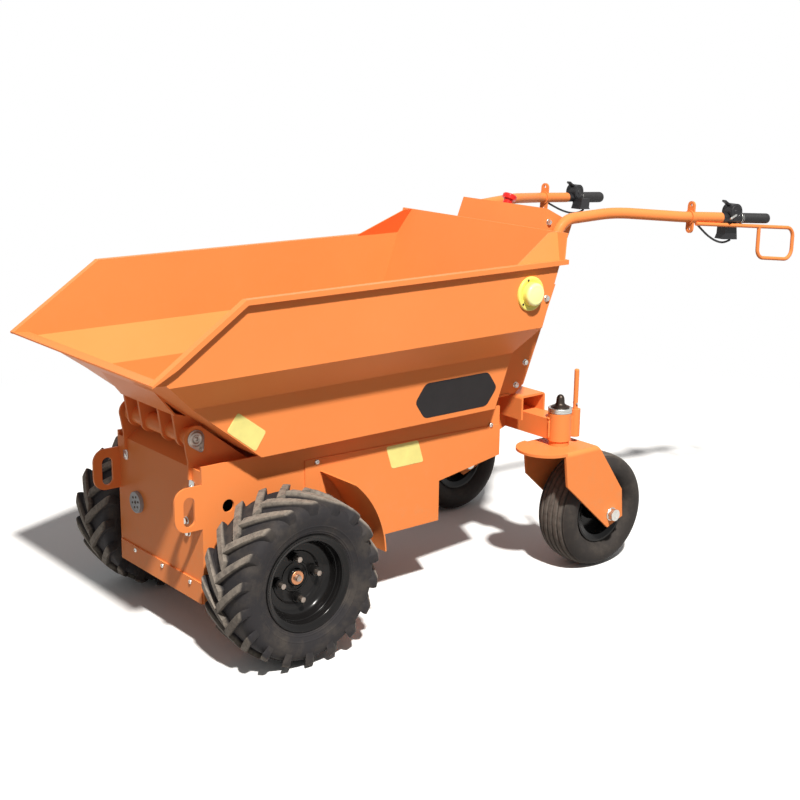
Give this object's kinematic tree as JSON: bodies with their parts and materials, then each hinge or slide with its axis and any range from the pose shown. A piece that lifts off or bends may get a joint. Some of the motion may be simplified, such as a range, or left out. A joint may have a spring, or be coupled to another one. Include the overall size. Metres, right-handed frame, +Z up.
{
  "type": "walk-behind site dumper",
  "caption": "Walk-behind electric site dumper: a sheet-steel skip that tips forward, lugged drive wheels in front, swivel casters behind and long handlebars.",
  "frame": {"origin": "ground point at the centre of the overall box", "axes": "+X forward, the way the skip tips; +Y to the left; +Z up"},
  "size_m": [2.1394, 0.78, 0.9887],
  "materials": {
    "orange_paint": "gloss enamel",
    "black_paint": "gloss",
    "tyre_rubber": "matt",
    "grip_rubber": "matt",
    "black_plastic": "satin",
    "grey_plastic": "satin",
    "yellow_lens": "gloss",
    "red_plastic": "gloss",
    "zinc": "bright zinc",
    "bare_steel": "dull",
    "battery_case": "satin"
  },
  "bodies": {
    "chassis": {"front_panel": "orange_paint", "deck": "orange_paint", "rear_panel": "orange_paint", "belly_pan": "orange_paint", "rear_beam": "orange_paint", "column": "orange_paint", "console": "orange_paint", "guard_rod": "orange_paint", "side_plate_left": "orange_paint", "side_plate_right": "orange_paint", "cover_left": "orange_paint", "cover_right": "orange_paint", "mudguard_left": "orange_paint", "mudguard_right": "orange_paint", "rear_bracket_left": "orange_paint", "rear_bracket_right": "orange_paint", "handle_tube_left": "orange_paint", "handle_tube_right": "orange_paint", "handle_clamp_left": "orange_paint", "handle_clamp_right": "orange_paint", "lock_pin_left": "orange_paint", "lock_pin_right": "orange_paint", "hinge_ear_left": "orange_paint", "hinge_ear_right": "orange_paint", "grip_left": "grip_rubber", "control_left": "black_plastic", "lead_left": "grip_rubber", "grip_right": "grip_rubber", "control_right": "black_plastic", "lead_right": "grip_rubber", "hinge_pin": "zinc", "stop_button": "red_plastic", "drive_axle": "bare_steel", "battery_pack": "battery_case", "charging_cap": "grey_plastic"},
    "skip": {"skip_floor": "orange_paint", "skip_back": "orange_paint", "skip_side_left": "orange_paint", "skip_side_right": "orange_paint", "skip_hinge": "orange_paint", "lamp_left": "yellow_lens", "lamp_right": "yellow_lens"},
    "drive_wheel_left": {"drive_tyre_left": "tyre_rubber", "drive_rim_left": "black_paint"},
    "caster_left": {"caster_fork_left": "orange_paint", "kingpin_left": "zinc"},
    "caster_wheel_left": {"caster_tyre_left": "tyre_rubber", "caster_rim_left": "black_paint"},
    "drive_wheel_right": {"drive_tyre_right": "tyre_rubber", "drive_rim_right": "black_paint"},
    "caster_right": {"caster_fork_right": "orange_paint", "kingpin_right": "zinc"},
    "caster_wheel_right": {"caster_tyre_right": "tyre_rubber", "caster_rim_right": "black_paint"}
  },
  "joints": [
    {"name": "skip_tip", "type": "hinge", "parent": "chassis", "child": "skip", "pos_m": [0.85975, 0, 0.518], "axis": [0, 1, 0], "range_deg": [0, 70]},
    {"name": "drive_spin_left", "type": "hinge", "parent": "chassis", "child": "drive_wheel_left", "pos_m": [0.70775, 0.31, 0.203], "axis": [0, 1, 0], "continuous": true},
    {"name": "drive_spin_right", "type": "hinge", "parent": "chassis", "child": "drive_wheel_right", "pos_m": [0.70775, -0.31, 0.203], "axis": [0, 1, 0], "continuous": true},
    {"name": "caster_swivel_left", "type": "hinge", "parent": "chassis", "child": "caster_left", "pos_m": [-0.16725, 0.293, 0.358], "axis": [0, 0, 1], "continuous": true},
    {"name": "caster_spin_left", "type": "hinge", "parent": "caster_left", "child": "caster_wheel_left", "pos_m": [-0.29925, 0.293, 0.157], "axis": [0, 1, 0], "continuous": true},
    {"name": "caster_swivel_right", "type": "hinge", "parent": "chassis", "child": "caster_right", "pos_m": [-0.16725, -0.293, 0.358], "axis": [0, 0, 1], "continuous": true},
    {"name": "caster_spin_right", "type": "hinge", "parent": "caster_right", "child": "caster_wheel_right", "pos_m": [-0.29925, -0.293, 0.157], "axis": [0, 1, 0], "continuous": true}
  ]
}
